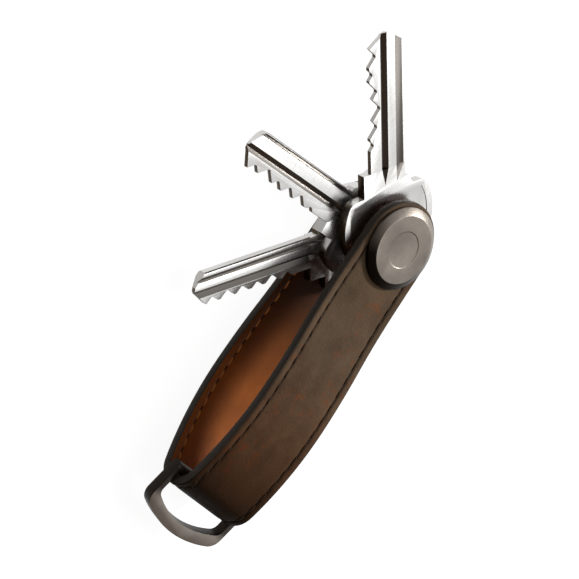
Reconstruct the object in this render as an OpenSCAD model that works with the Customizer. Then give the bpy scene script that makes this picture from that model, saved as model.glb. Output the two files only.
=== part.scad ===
// Key organiser: a leather loop closed by a round post that carries three keys, with a D-ring at its far end.
// Frame: millimetres. Z runs along the post, X from the D-ring towards the knobs, Y across the strap.
// The origin is on the post's axis, on the flat outer face of the rear knob, which the object lies on.

/* [Strap] */
// Distance from the post to the far outside of the loop
loop_len = 66.4; // [58:0.2:84]
// Radius of the strap's rounded ends, round the post
strap_end_r = 9.8; // [9.2:0.1:10.4]
// Half of the strap's width at the loop's far end
strap_half_w = 10.5; // [10.3:0.05:13]
// Thickness of the outer leather
outer_t = 0.9; // [0.7:0.05:1.2]
// Thickness of the stiffening strip between the two leathers
core_t = 0.3; // [0.2:0.05:0.5]
// Thickness of the lining leather
lining_t = 0.7; // [0.5:0.05:1]
// Thickness of each line of glue between two layers
glue_t = 0.05; // [0.02:0.01:0.1]
// How much further out the belly of the loop stands than the strap at the post
belly_rise = 1.3; // [0.8:0.1:2.5]
// How far each half of the strap runs flat past the post's axis
flat_len = 11; // [9:0.5:16]
// Radius of the long curve from the belly to the end of the loop
closing_r = 75; // [60:1:95]
// Angle that this long curve turns through
closing_angle = 18; // [14:0.5:22]

/* [Post, washers and knobs] */
// Radius of the post that the keys turn on
post_r = 2.5; // [2.2:0.05:2.8]
// Radial play between the post and what turns or sits on it
post_play = 0.05; // [0.02:0.01:0.1]
// Radius of the lock screw's shank
screw_r = 1.5; // [1.2:0.05:1.7]
// Length of the lock screw's shank below its head
screw_len = 7; // [5:0.5:9]
// Radius of the lock screw's head
screw_head_r = 4.6; // [4:0.1:5.2]
// Thickness of the lock screw's head
screw_head_t = 0.9; // [0.7:0.05:1]
// How far the screw's head lies below the rear knob's face
screw_sink = 0.1; // [0.05:0.05:0.3]
// Width of the coin slot
coin_slot_w = 1.5; // [1.2:0.1:2]
// Depth of the coin slot
coin_slot_d = 0.6; // [0.4:0.05:0.7]
// Radius of both knobs
knob_r = 9; // [7.8:0.1:9.2]
// How far the front knob stands out from the strap
knob_proud = 1.6; // [1.3:0.05:2.6]
// How far the rear knob stands out from the strap
rear_proud = 1.3; // [1.2:0.05:2]
// Width of the front knob's chamfer
knob_bevel_w = 1.6; // [0.8:0.1:2]
// Height of the front knob's chamfer
knob_bevel_h = 0.9; // [0.4:0.05:1.2]
// Width and height of the rear knob's edge break
rear_edge = 0.3; // [0.2:0.05:0.6]
// Depth of the shallow dish in the front knob's face
knob_dish_d = 0.1; // [0.05:0.01:0.2]
// Radius of the dish in the front knob's face
knob_dish_r = 4; // [3:0.1:6]
// Length of the boss on each knob that enters the strap
boss_len = 1.2; // [0.8:0.1:1.6]
// Wall of the boss on the front knob
boss_wall = 0.4; // [0.3:0.05:0.6]
// Play between a knob's boss and its eyelet
boss_play = 0.08; // [0.05:0.01:0.15]
// Wall of an eyelet's barrel
eyelet_wall = 0.8; // [0.5:0.05:1]
// Radius of an eyelet's flange
eyelet_flange_r = 6.2; // [5.5:0.1:7]
// Thickness of an eyelet's flange
eyelet_flange_t = 0.4; // [0.3:0.05:0.6]
// Outer radius of the washers between the keys
spacer_r = 5.4; // [4.5:0.1:6]
// Distance between the faces of neighbouring keys
key_gap = 1.2; // [0.8:0.05:1.6]
// Thickness of the friction washer in front of the keys
friction_washer_t = 0.7; // [0.5:0.05:1]
// Share of the rear washers' room that the lock washer takes
lock_washer_t = 0.35; // [0.3:0.05:0.5]
// Running clearance between the faces of neighbouring washers and keys
face_play = 0.05; // [0.02:0.01:0.08]

/* [Keys] */
// Thickness of a key
key_t = 2; // [1.8:0.1:2.4]
// Radius of a key's bow
bow_r = 11.8; // [11:0.1:13]
// Distance from the post to the centre of the bow
bow_offset = 5; // [3.5:0.1:6]
// Distance from the post to the bow's straight side, where the neck begins
bow_flat_x = 11.7; // [11:0.1:13]
// Radius of the corners at the ends of the bow's straight side
bow_corner_r = 2.5; // [2:0.1:3.5]
// Half width of the neck between the bow and the blade
neck_half_w = 6.5; // [5.5:0.1:7.5]
// Length of the blade, from the shoulder to the tip
blade_len = 30.2; // [28.5:0.1:33]
// Length of the bevel on the back of the tip
tip_bevel = 1.8; // [1:0.1:2.5]
// Distance from the shoulder to the first cut
first_cut = 6.2; // [5.5:0.1:7]
// Distance between neighbouring cuts
cut_pitch = 3.9; // [3.5:0.01:4]
// Depth of the sunk field inside the bow's rim
bow_field_d = 0.18; // [0.1:0.01:0.3]
// Width of the bow's raised rim
bow_rim_w = 1.5; // [1:0.1:2.5]
// Height of the front key's blade
front_blade_h = 9.2; // [6.5:0.1:9.6]
// Distance from the post to the front key's shoulder
front_shoulder = 16.8; // [15:0.1:18]
// How far the middle line of the front key passes beside its hole
front_offset = 0.2; // [0:0.1:1.5]
// Height of the middle key's blade
middle_blade_h = 8.2; // [6.5:0.1:9.6]
// Distance from the post to the middle key's shoulder
middle_shoulder = 15.4; // [15:0.1:18]
// How far the middle line of the middle key passes beside its hole
middle_offset = 0.6; // [0:0.1:1.5]
// Height of the rear key's blade
rear_blade_h = 6.9; // [6.5:0.1:9.6]
// Distance from the post to the rear key's shoulder
rear_shoulder = 15.7; // [15:0.1:18]
// How far the middle line of the rear key passes beside its hole
rear_offset = 0; // [0:0.1:1.5]
// Direction of the front key, from +X towards +Y
front_key_angle = 47.1; // [0:0.1:180]
// Direction of the middle key
middle_key_angle = 94.4; // [0:0.1:180]
// Direction of the rear key
rear_key_angle = 135.2; // [0:0.1:180]

/* [D-ring] */
// Radius of the bar inside the loop
bar_r = 1.3; // [1:0.05:1.4]
// Clearance between the bar and the lining at the end of the loop
bar_play = 0.3; // [0.2:0.05:0.5]
// Gap between the strap's edge and each leg
leg_gap = 0.35; // [0.25:0.05:0.6]
// Width of each leg, across the strap
leg_w = 1.2; // [1:0.1:1.8]
// Gap between the loop's end and the bow of the ring
ring_gap = 5.4; // [5.2:0.1:9]
// Width of the ring's curved bow
ring_bow_w = 2.7; // [2:0.1:3.5]
// Radius of the outside of the bow
ring_bow_r = 27; // [22:0.5:40]
// Radius of the ring's outer corners
ring_corner_r = 3; // [2.4:0.1:3.6]
// Angle that the ring hangs below the middle of the loop
ring_droop = 15; // [0:1:25]

/* [Hidden] */
$fn = 96;
long_fn = 720;
// How far one solid reaches into its neighbour where they are cut or joined
eps = 0.01;

// The stack along the post, measured from the middle key's middle
wall = outer_t + core_t + lining_t + 2 * glue_t;
stack_half = 1.5 * key_t + key_gap;
washer_room = friction_washer_t + 2 * face_play;
gap_half = stack_half + washer_room + eyelet_flange_t;
strap_face = gap_half + wall;
mid_z = strap_face + rear_proud;
spring_washer_t = washer_room - lock_washer_t - 3 * face_play;
post_hole_r = post_r + post_play;
boss_r = post_hole_r + boss_wall;
eyelet_in_r = boss_r + boss_play;
eyelet_out_r = eyelet_in_r + eyelet_wall;
post_seat = 0.8;
post_front = strap_face + post_seat;
post_rear = -(strap_face - boss_len - 2 * face_play);

// The loop's side outline: half of the loop is a flat, two gentle curves out, a long curve in and a round end
belly_half = strap_face + belly_rise;
long_drop = closing_r * (1 - cos(closing_angle));
end_r = (belly_half - long_drop) / cos(closing_angle);
belly_x = loop_len - closing_r * sin(closing_angle) - end_r * (1 - sin(closing_angle));
end_x = loop_len - end_r;
flare_run = belly_x - flat_len;
flare_angle = 2 * atan(belly_rise / flare_run);
flare_r = flare_run / (2 * sin(flare_angle));

// The strap seen from the front: its straight edges spread from the round end by this angle
edge_tilt = acos(strap_end_r / norm([loop_len, strap_half_w])) - atan(loop_len / strap_half_w);

// The D-ring, measured from the bar's axis
bar_x = loop_len - wall - bar_play - bar_r;
ring_half_w = strap_half_w + leg_gap + leg_w;
ring_len = loop_len - bar_x + ring_gap + ring_bow_w;

// The keys, front to rear: half of the blade's height, distance of the shoulder, side step of the hole,
// place of the V groove, near and far side of the second groove measured from the back edge, and the
// depths of the six cuts
front_key = [front_blade_h / 2, front_shoulder, front_offset, 0.8, 0.5, 2.4, [0.8, 1.8, 2.7, 1.9, 0.8, 1.7]];
middle_key = [middle_blade_h / 2, middle_shoulder, middle_offset, 0.4, 0.3, 1.1,
              [0.7, 1.6, 1.6, 1.3, 2.2, 1.4]];
rear_key = [rear_blade_h / 2, rear_shoulder, rear_offset, 0.9, 0.9, 1.9, [0.9, 1.3, 1, 1.2, 1.4, 1.1]];
cut_root = 0.5;
v_groove_d = 0.8;
second_groove_d = 0.75;
cut_flank = 48;

leather = "#5c4a3a";
tan_leather = "#9c5a2c";
gunmetal = "#7d746b";
steel = "#b9b9b6";
nickel = "#dcdcd8";
nylon = "#2b2a29";

// Points along an arc round (x, y), from angle a0 to angle a1 in n steps, without the last one
function arc(x, y, r, a0, a1, n) =
    [for (i = [0 : n - 1]) let (a = a0 + (a1 - a0) * i / n) [x + r * cos(a), y + r * sin(a)]];

// The upper half of the strap's side outline at depth d under its outer surface.
// x runs away from the post, and y is the height above the middle.
function half_path(d) = concat(
    [[-strap_end_r - 2, strap_face - d]],
    arc(flat_len, strap_face + flare_r, flare_r + d, -90, -90 + flare_angle, 3),
    arc(belly_x, belly_half - flare_r, flare_r - d, 90 + flare_angle, 90, 3),
    arc(belly_x, belly_half - closing_r, closing_r - d, 90, 90 - closing_angle, 6),
    arc(end_x, 0, end_r - d, 90 - closing_angle, 0, 14),
    [[end_x + end_r - d, 0]]);

// The same outline from the front end of the strap, round the loop and back to the rear end
function loop_path(d) =
    let (half = half_path(d), n = len(half))
    concat(half, [for (i = [n - 2 : -1 : 0]) [half[i][0], -half[i][1]]]);

function reversed(points) = [for (i = [len(points) - 1 : -1 : 0]) points[i]];

// The strap's plan as a block of height h: a round end, and straight edges that start just inside it
module strap_block(h) {
    touch_x = (strap_end_r - eps) * sin(edge_tilt);
    touch_y = (strap_end_r - eps) * cos(edge_tilt);
    past = 1;
    end_y = strap_half_w + past * tan(edge_tilt);
    cylinder(h = h, r = strap_end_r, $fn = long_fn);
    linear_extrude(h)
        polygon([[-loop_len - past, end_y], [touch_x, touch_y], [touch_x, -touch_y], [-loop_len - past, -end_y]]);
}

// One layer of the folded strap, from depth d0 to depth d1, with the holes for the two eyelets
module strap_layer(d0, d1) {
    difference() {
        intersection() {
            translate([0, 2 * strap_half_w, mid_z])
                rotate([90, 0, 0])
                    linear_extrude(4 * strap_half_w)
                        mirror([1, 0])
                            polygon(concat(loop_path(d0), reversed(loop_path(d1))));
            translate([0, 0, -strap_half_w])
                strap_block(2 * mid_z + 2 * strap_half_w);
        }
        translate([0, 0, -strap_half_w])
            cylinder(h = 2 * mid_z + 2 * strap_half_w, r = eyelet_out_r + glue_t);
    }
}

// A washer on the post, from height z0 to height z1 above the middle key's middle
module washer(r, z0, z1) {
    translate([0, 0, mid_z + z0])
        difference() {
            cylinder(h = z1 - z0, r = r);
            translate([0, 0, -1])
                cylinder(h = z1 - z0 + 2, r = post_hole_r);
        }
}

module outer_leather() {
    color(leather)
        strap_layer(0, outer_t);
}

module core_strip() {
    color(nylon)
        strap_layer(outer_t + glue_t, outer_t + glue_t + core_t);
}

module lining_leather() {
    color(tan_leather)
        strap_layer(wall - lining_t, wall);
}

// An eyelet: its flange lies inside the loop and its barrel lines the hole in the strap
module eyelet() {
    difference() {
        union() {
            translate([0, 0, gap_half - eyelet_flange_t])
                cylinder(h = eyelet_flange_t, r = eyelet_flange_r);
            translate([0, 0, gap_half - eyelet_flange_t])
                cylinder(h = wall + eyelet_flange_t, r = eyelet_out_r);
        }
        cylinder(h = 2 * strap_face, r = eyelet_in_r);
    }
}

module front_eyelet() {
    color(steel)
        translate([0, 0, mid_z])
            eyelet();
}

module rear_eyelet() {
    color(steel)
        translate([0, 0, mid_z])
            mirror([0, 0, 1]) eyelet();
}

// The front knob: a low disc with a wide chamfer, a shallow dish and a boss that takes the post
module front_knob() {
    color(gunmetal)
        translate([0, 0, mid_z + strap_face])
            rotate_extrude(convexity = 4)
                polygon([[0, post_seat], [post_r, post_seat], [post_r, -boss_len], [boss_r, -boss_len],
                         [boss_r, 0], [knob_r, 0], [knob_r, knob_proud - knob_bevel_h],
                         [knob_r - knob_bevel_w, knob_proud], [knob_dish_r, knob_proud],
                         [knob_dish_r - knob_dish_d, knob_proud - knob_dish_d],
                         [0, knob_proud - knob_dish_d]]);
}

module post_barrel() {
    color(steel)
        translate([0, 0, mid_z + post_rear])
            difference() {
                cylinder(h = post_front - post_rear, r = post_r);
                translate([0, 0, -1])
                    cylinder(h = screw_len + 2, r = screw_r + post_play);
            }
}

module friction_washer() {
    color(nylon)
        washer(eyelet_flange_r, stack_half + face_play, stack_half + face_play + friction_washer_t);
}

module key_spacers() {
    color(nylon)
        for (side = [-1, 1])
            translate([0, 0, side * (key_t + key_gap) / 2])
                washer(spacer_r, face_play - key_gap / 2, key_gap / 2 - face_play);
}

module lock_washer() {
    color(steel)
        washer(spacer_r, -stack_half - face_play - lock_washer_t, -stack_half - face_play);
}

module spring_washer() {
    color(steel)
        washer(spacer_r, -stack_half - 2 * face_play - lock_washer_t - spring_washer_t,
               -stack_half - 2 * face_play - lock_washer_t);
}

// The rear knob: a disc with a sunk seat for the lock screw's head and a boss that enters the strap
module rear_knob() {
    seat = rear_proud - screw_sink - screw_head_t;
    color(gunmetal)
        translate([0, 0, mid_z - strap_face])
            mirror([0, 0, 1])
                rotate_extrude(convexity = 4)
                    polygon([[screw_r + post_play, -boss_len], [boss_r, -boss_len], [boss_r, 0], [knob_r, 0],
                             [knob_r, rear_proud - rear_edge], [knob_r - rear_edge, rear_proud],
                             [screw_head_r + post_play, rear_proud], [screw_head_r + post_play, seat],
                             [screw_r + post_play, seat]]);
}

module lock_screw() {
    color(steel)
        translate([0, 0, screw_sink])
            difference() {
                union() {
                    cylinder(h = screw_head_t, r = screw_head_r);
                    cylinder(h = screw_head_t + screw_len, r = screw_r);
                }
                translate([-screw_head_r - 1, -coin_slot_w / 2, -1])
                    cube([2 * screw_head_r + 2, coin_slot_w, 1 + coin_slot_d]);
            }
}

// An opening or outline with two straight sides, a curved end and round corners, reaching len from the origin
module d_outline(half_w, len, bow, corner) {
    centre_x = bow - len;
    corner_y = half_w - corner;
    corner_x = centre_x - sqrt((bow - corner) * (bow - corner) - corner_y * corner_y);
    touch_y = corner_y * bow / (bow - corner);
    translate([corner_x, -half_w])
        square([2 * bar_r - corner_x, 2 * half_w]);
    for (side = [-1, 1])
        translate([corner_x, side * corner_y]) circle(corner);
    intersection() {
        translate([centre_x, 0]) circle(bow, $fn = long_fn);
        translate([-len - 1, -touch_y])
            square([len + 1, 2 * touch_y]);
    }
}

module d_ring() {
    color(gunmetal)
        translate([-bar_x, 0, mid_z])
            rotate([0, -ring_droop, 0]) {
                intersection() {
                    translate([0, 0, -bar_r])
                        linear_extrude(2 * bar_r)
                            difference() {
                                d_outline(ring_half_w, ring_len, ring_bow_r, ring_corner_r);
                                d_outline(ring_half_w - leg_w, ring_len - ring_bow_w,
                                          ring_bow_r - 1.6 * ring_bow_w, ring_corner_r - leg_w);
                            }
                    translate([0, ring_half_w, 0])
                        rotate([90, 0, 0])
                            linear_extrude(2 * ring_half_w) {
                                circle(bar_r);
                                translate([-ring_len - 1, -bar_r])
                                    square([ring_len + 1, 2 * bar_r]);
                            }
                }
                translate([0, ring_half_w - leg_w / 2, 0])
                    rotate([90, 0, 0])
                        cylinder(h = 2 * ring_half_w - leg_w, r = bar_r);
            }
}

// A key lies along +X with its hole at the origin, its cut edge towards +Y and its rear face at z = 0.
// Its blade runs from the shoulder to the tip, and h is half of the blade's height.

// One cut in the blade's edge, its root at depth d
module cut(h, d) {
    rise = d + 1;
    run = rise * tan(cut_flank);
    polygon([[-cut_root / 2, h - d], [-cut_root / 2 - run, h + 1], [cut_root / 2 + run, h + 1],
             [cut_root / 2, h - d]]);
}

// The blade with its blunt, pointed tip
module blade_outline(h, shoulder, cuts) {
    tip = shoulder + blade_len;
    difference() {
        polygon([[0, -h], [tip - 2.8, -h], [tip - 1.1, -h / 2], [tip - 0.2, -0.7],
                 [tip, 0], [tip - 0.2, 0.6], [tip - 2.7, h], [0, h]]);
        for (i = [0 : len(cuts) - 1])
            translate([shoulder + first_cut + i * cut_pitch, 0]) cut(h, cuts[i]);
    }
}

// The bow and neck: a disc that ends in a straight side with round corners, and a neck whose cut-edge side
// ends in the shoulder
module bow_outline(h, shoulder) {
    corner_x = bow_flat_x - bow_corner_r;
    corner_y = sqrt(pow(bow_r - bow_corner_r, 2) - pow(corner_x - bow_offset, 2));
    neck_drop = 0.85;
    far = 3;
    intersection() {
        translate([bow_offset, 0]) circle(bow_r, $fn = 2 * $fn);
        translate([bow_offset, 0])
            polygon([[0, 0], far * [corner_x - bow_offset, corner_y], [-2 * bow_r, 2 * far * bow_r],
                     [-2 * bow_r, -2 * far * bow_r], far * [corner_x - bow_offset, -corner_y]]);
    }
    for (side = [-1, 1])
        translate([corner_x, side * corner_y]) circle(bow_corner_r);
    polygon([[bow_offset, 0], [corner_x, corner_y], [bow_flat_x, corner_y],
             [bow_flat_x, -corner_y], [corner_x, -corner_y]]);
    polygon([[bow_offset, neck_half_w], [shoulder, neck_half_w], [shoulder, -h],
             [bow_flat_x + 2, -h], [bow_flat_x + 1.9, -h - neck_drop], [bow_flat_x, -neck_half_w],
             [bow_offset, -neck_half_w]]);
}

// The sunk field inside the bow's rim, round the raised ring at the key's hole
module bow_field(offset_y) {
    difference() {
        intersection() {
            translate([bow_offset, -offset_y]) circle(bow_r - bow_rim_w, $fn = 2 * $fn);
            translate([-bow_r, -2 * bow_r]) square([bow_r + bow_flat_x - bow_rim_w, 4 * bow_r]);
        }
        circle(eyelet_flange_r);
    }
}

// The blade's milled section, seen from the tip: x runs towards the cut edge and y from the rear face.
// v is the middle of the V groove, and the second groove lies between a and b from the back edge.
module blade_section(h, v, a, b) {
    polygon([[-h, 0.3], [-h + 0.25, 0], [-1.9, 0], [-1.7, 0.5], [-0.7, 0.5], [-0.5, 0], [0.75, 0],
             [1.1, 0.95], [h + 1, 0.95], [h + 1, key_t], [v + 0.9, key_t], [v, key_t - v_groove_d],
             [v - 0.9, key_t], [b - h, key_t], [b - h - 0.1, key_t - second_groove_d],
             [a + 0.2 - h, key_t - 0.1], [a - h, key_t], [-h + 0.2, key_t], [-h, key_t - 0.3]]);
}

// A groove's run-out into the neck, from depth d at the shoulder up to the face; its section opens upwards
module run_out(shoulder, y, d, section) {
    run = 3.6;
    translate([shoulder + eps, y, key_t - d])
        rotate([0, atan(d / run) - 90, 0])
            linear_extrude(run + 1)
                polygon(section);
}

module key(sizes) {
    h = sizes[0];
    shoulder = sizes[1];
    offset_y = sizes[2];
    v = sizes[3];
    a = sizes[4];
    b = sizes[5];
    tip = shoulder + blade_len;
    slant = 1.5 * (b - a) / second_groove_d;
    difference() {
        translate([0, -offset_y, 0])
            difference() {
                union() {
                    linear_extrude(key_t) bow_outline(h, shoulder);
                    intersection() {
                        linear_extrude(key_t) blade_outline(h, shoulder, sizes[6]);
                        translate([shoulder, 0, 0])
                            rotate([90, 0, 90])
                                linear_extrude(blade_len + 1) blade_section(h, v, a, b);
                    }
                }
                run_out(shoulder, v, v_groove_d, [[0, 0], [2, 2.25], [2, -2.25]]);
                run_out(shoulder, b - h - 0.1, second_groove_d, [[0, 0], [1.5, 0.2], [1.5, -slant]]);
                translate([tip, bow_r, 0])
                    rotate([90, 0, 0])
                        linear_extrude(2 * bow_r)
                            polygon([[-tip_bevel, 0], [-0.1, key_t / 2], [1, key_t / 2], [1, -1],
                                     [-tip_bevel, -1]]);
            }
        for (z = [-1, key_t - bow_field_d])
            translate([0, 0, z])
                linear_extrude(1 + bow_field_d) bow_field(offset_y);
        translate([0, 0, -1]) cylinder(h = key_t + 2, r = post_hole_r);
    }
}

module placed_key(sizes, level, angle) {
    color(nickel)
        translate([0, 0, mid_z + level * (key_t + key_gap) - key_t / 2])
            rotate([0, 0, angle]) key(sizes);
}

module key_front() {
    placed_key(front_key, 1, front_key_angle);
}

module key_middle() {
    placed_key(middle_key, 0, middle_key_angle);
}

module key_rear() {
    placed_key(rear_key, -1, rear_key_angle);
}

outer_leather();
core_strip();
lining_leather();
front_eyelet();
rear_eyelet();
front_knob();
post_barrel();
friction_washer();
key_spacers();
lock_washer();
spring_washer();
rear_knob();
lock_screw();
d_ring();
key_front();
key_middle();
key_rear();
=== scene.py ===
"""Key organiser: a leather loop with a knobbed post, three keys and a D-ring."""

import math

import bpy
import numpy as np
from mathutils import Matrix, Vector


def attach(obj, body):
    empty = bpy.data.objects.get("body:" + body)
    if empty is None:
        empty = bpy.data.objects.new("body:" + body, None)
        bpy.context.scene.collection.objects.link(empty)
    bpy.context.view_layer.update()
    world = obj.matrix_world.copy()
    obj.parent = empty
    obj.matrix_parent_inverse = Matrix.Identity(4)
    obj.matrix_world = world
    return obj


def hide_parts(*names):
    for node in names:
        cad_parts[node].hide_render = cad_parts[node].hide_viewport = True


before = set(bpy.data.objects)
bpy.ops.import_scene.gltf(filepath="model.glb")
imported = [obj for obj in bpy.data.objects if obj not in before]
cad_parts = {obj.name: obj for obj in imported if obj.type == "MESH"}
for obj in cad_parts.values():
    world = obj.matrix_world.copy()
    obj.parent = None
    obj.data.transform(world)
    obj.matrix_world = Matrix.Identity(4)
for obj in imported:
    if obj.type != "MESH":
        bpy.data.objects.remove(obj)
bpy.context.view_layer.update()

MM = 0.001

# Light
WORLD_LEVEL = 0.19
KEY_POWER = 8.5
TOP_POWER = 1.6
FLOOR_GLOW = 0.93
FLOOR_GREY = 0.2
BRIGHT_SIDE = (0.553, -0.553, 0.623)   # the side of the world that glossy rays see bright
SHOWN_DARK = (0.13, 0.090, 0.062)
SHOWN_BRIGHT = (0.80, 0.80, 0.80)

# Camera: its sideways and upward directions, its place in metres and its lens in millimetres
CAMERA_RIGHT = (0.5495, -0.5439, 0.6342)
CAMERA_UP = (0.8286, 0.4523, -0.33)
CAMERA_AT = (-0.11555, 0.6407, 0.6302)
CAMERA_LENS = 270.3

# The strap, in millimetres, as the CAD has it
LOOP_LEN = 66.4
STRAP_END_R = 9.8
STRAP_HALF_W = 10.5
OUTER_T = 0.9
LINING_T = 0.7
WALL = 2.0
STRAP_FACE = 7.4
BELLY_HALF = 8.7
FLAT_LEN = 11.0
CLOSING_R = 75.0
CLOSING_ANGLE = math.radians(18)
MID_Z = 8.7
POST_HOLE_R = 3.88
PATH_STEP = 0.1

# Stitching
STITCH_INSET = 2.0
STITCH_PITCH = 3.3
STITCH_LEN = 2.45
STITCH_START = 3.0
THREAD_R = 0.22
HOLE_HALF_L = 0.5
HOLE_HALF_W = 0.3
THREAD_SIDES = 8
THREAD_RINGS = 9
THREAD_RISE = 0.17        # how far a stitch stands over the pressed line
THREAD_DIP = 0.52         # how far its ends go down from there
THREAD_SLANT = 0.16
THREAD_END_SHARE = 0.35   # thickness of a stitch's tip, as a share of the thread's
THREAD_FLATTENING = 1.1   # width of the thread over its height
HOLE_SIDES = 10
HOLE_LOW = -0.12          # bottom and top of a stitch hole's dark plug of painted shade, over the pressed line
HOLE_TOP = 0.05

# The pressed stitch line: a narrow groove with a wide shallow one beside it
GROOVE_DEPTH = 0.26
GROOVE_WIDTH = 0.3
SHOULDER_DEPTH = 0.1
SHOULDER_WIDTH = 0.8
SHOULDER_OFFSET = 0.4
CREASE_WIDTH = 0.32       # how wide the painted shade along the pressed line is
RIM_WIDTH = 0.9

# How close the strap's mesh is, along it and in from its edge
STATION_STEP = 0.85
STRAP_END_STEPS = 26
INSETS = (0, 0.04, 0.12, 0.25, 0.42, 0.65, 1.0, 1.35, 1.55, 1.7, 1.85, 2.0, 2.15, 2.3, 2.5, 2.8, 3.3, 4.0)
MIDDLE_ROWS = 9
OUTER_EDGE_R = 0.5
LINING_EDGE_R = 0.4

# The bead of edge paint: distance in from the strap's edge, and depth below its outer face
PAINT_PROFILE = ((0.02, 0.16), (-0.05, 0.32), (-0.1, 0.62), (-0.12, 1.0), (-0.1, 1.38), (-0.05, 1.68),
                 (0.02, 1.84), (0.3, 1.84), (0.3, 0.16))

# The front knob, in millimetres, as the CAD has it
KNOB_LOW = 16.1
KNOB_TOP = 17.7
KNOB_R = 9.0
KNOB_CHAMFER_W = 1.6
KNOB_CHAMFER_H = 0.9
DISH_R = 4.0
DISH_D = 0.1
KNOB_EDGE = 0.14
KNOB_EDGE_STEPS = 4
KNOB_SIDES = 160

# Broken edges of the other metal pieces
EDGE_STEPS = 3
EDGE_ANGLE = 30
CAD_MERGE = 0.000002
FLAT_WITHIN = 0.6         # degrees between triangles that count as one flat face

# Colours
BROWN_DARK, BROWN_LIGHT = (0.074, 0.046, 0.027), (0.150, 0.097, 0.057)
BROWN_FLECK = (0.21, 0.060, 0.016)
# painted shade in the outer leather's pressed stitch line
BROWN_CREASE_SHADE = (0.022, 0.012, 0.007)
BROWN_WARMTH = (1.12, 0.72, 0.48)
# painted shade where the loop bends
BROWN_BEND_SHADE = (0.007, 0.0035, 0.0012)
TAN_DARK, TAN_LIGHT = (0.30, 0.083, 0.014), (0.45, 0.128, 0.021)
# painted shade in the lining's pressed stitch line
TAN_CREASE_SHADE = (0.055, 0.017, 0.006)
# painted shade on the lining away from the loop's end, where the keys and the front half keep the light off
TAN_SHADE_NEAR_KEYS = (0.030, 0.012, 0.005)
# painted shade and painted reflection for the wall faces of the gunmetal pieces
WALL_SHADE_COLOUR = (0.012, 0.008, 0.005)

RING_LEGS_SHADED_FROM = -69.2    # place along X past which the ring's legs get painted shade all over


# ---------------------------------------------------------------- small tools

def deselect():
    """Leave edit mode and deselect everything."""
    if bpy.context.object and bpy.context.object.mode != "OBJECT":
        bpy.ops.object.mode_set(mode="OBJECT")
    bpy.ops.object.select_all(action="DESELECT")


def take(obj):
    """Make obj the only selected and active object."""
    deselect()
    obj.select_set(True)
    bpy.context.view_layer.objects.active = obj
    return obj


def named(name):
    """The object that an operator just added, under its own name."""
    obj = bpy.context.object
    obj.name = name
    obj.data.name = name
    return obj


def settle(obj):
    """Put the object's place into its mesh."""
    take(obj)
    bpy.ops.object.transform_apply(location=True, rotation=True, scale=True)
    return obj


def tidy_mesh(obj, reach=0.000004):
    """Merge what lies together, drop faces that closed up, and turn the rest outwards."""
    take(obj)
    bpy.ops.object.mode_set(mode="EDIT")
    bpy.ops.mesh.select_all(action="SELECT")
    bpy.ops.mesh.remove_doubles(threshold=reach)
    bpy.ops.mesh.dissolve_degenerate(threshold=reach / 2)
    bpy.ops.mesh.normals_make_consistent(inside=False)
    bpy.ops.object.mode_set(mode="OBJECT")
    return obj


def smooth(obj, degrees):
    """Shade smooth, but keep edges sharper than this angle."""
    take(obj)
    bpy.ops.object.shade_smooth_by_angle(angle=math.radians(degrees))
    return obj


def dress(obj, material):
    """Give the object one material in all its slots."""
    if not obj.data.materials:
        obj.data.materials.append(material)
    for i in range(len(obj.data.materials)):
        obj.data.materials[i] = material
    return obj


def finish_piece(obj, body, slot_name, *nodes):
    """Put the piece on its body and let it stand for its CAD nodes; slot_name is not used."""
    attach(obj, body)
    if nodes:
        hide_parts(*nodes)
    return obj


def add_float(obj, name, values):
    """Give each point of the mesh a value that the materials read."""
    attribute = obj.data.attributes.new(name, "FLOAT", "POINT")
    attribute.data.foreach_set("value", np.asarray(values, np.float32))


# ---------------------------------------------------------------- the strap's path

def half_outline():
    """Half of the loop's side outline: distance from the post, height over the middle, outward normal."""
    end_r = (BELLY_HALF - CLOSING_R * (1 - math.cos(CLOSING_ANGLE))) / math.cos(CLOSING_ANGLE)
    belly_x = LOOP_LEN - CLOSING_R * math.sin(CLOSING_ANGLE) - end_r * (1 - math.sin(CLOSING_ANGLE))
    end_x = LOOP_LEN - end_r
    flare_run = belly_x - FLAT_LEN
    flare_angle = 2 * math.atan((BELLY_HALF - STRAP_FACE) / flare_run)
    flare_r = flare_run / (2 * math.sin(flare_angle))
    points = []

    def arc(cx, cy, r, a0, a1, sign):
        steps = max(2, int(abs(a1 - a0) * r / PATH_STEP))
        for i in range(steps):
            a = a0 + (a1 - a0) * i / steps
            n = (math.cos(a) * sign, math.sin(a) * sign)
            points.append((cx + r * math.cos(a), cy + r * math.sin(a), n[0], n[1]))

    for i in range(int((FLAT_LEN + STRAP_END_R + 2) / PATH_STEP)):
        points.append((-STRAP_END_R - 2 + i * PATH_STEP, STRAP_FACE, 0.0, 1.0))
    half = math.pi / 2
    arc(FLAT_LEN, STRAP_FACE + flare_r, flare_r, -half, -half + flare_angle, -1)
    arc(belly_x, BELLY_HALF - flare_r, flare_r, half + flare_angle, half, 1)
    arc(belly_x, BELLY_HALF - CLOSING_R, CLOSING_R, half, half - CLOSING_ANGLE, 1)
    arc(end_x, 0.0, end_r, half - CLOSING_ANGLE, 0.0, 1)
    points.append((LOOP_LEN, 0.0, 1.0, 0.0))
    return np.array(points)


def whole_path():
    """The outer side of the loop from the front end to the rear end, with its running length."""
    half = half_outline()
    back = half[:-1][::-1] * np.array([1, -1, 1, -1])
    path = np.vstack([half, back])
    step = np.hypot(*np.diff(path[:, :2], axis=0).T)
    run = np.concatenate([[0], np.cumsum(step)])
    run -= STRAP_END_R + 2
    return path, run


PATH, RUN = whole_path()
RUN_END = RUN[-1] - (STRAP_END_R + 2)


def wrap(run, y, depth):
    """A point of the flat strap, folded round the loop.

    run goes along it, y across it, and depth below its outer face.
    """
    x, h, nx, nh = (np.interp(run, RUN, PATH[:, k]) for k in range(4))
    size = np.hypot(nx, nh)
    nx, nh = nx / size, nh / size
    return np.stack([-(x - depth * nx), y * np.ones_like(x), MID_Z + h - depth * nh], -1) * MM


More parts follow.
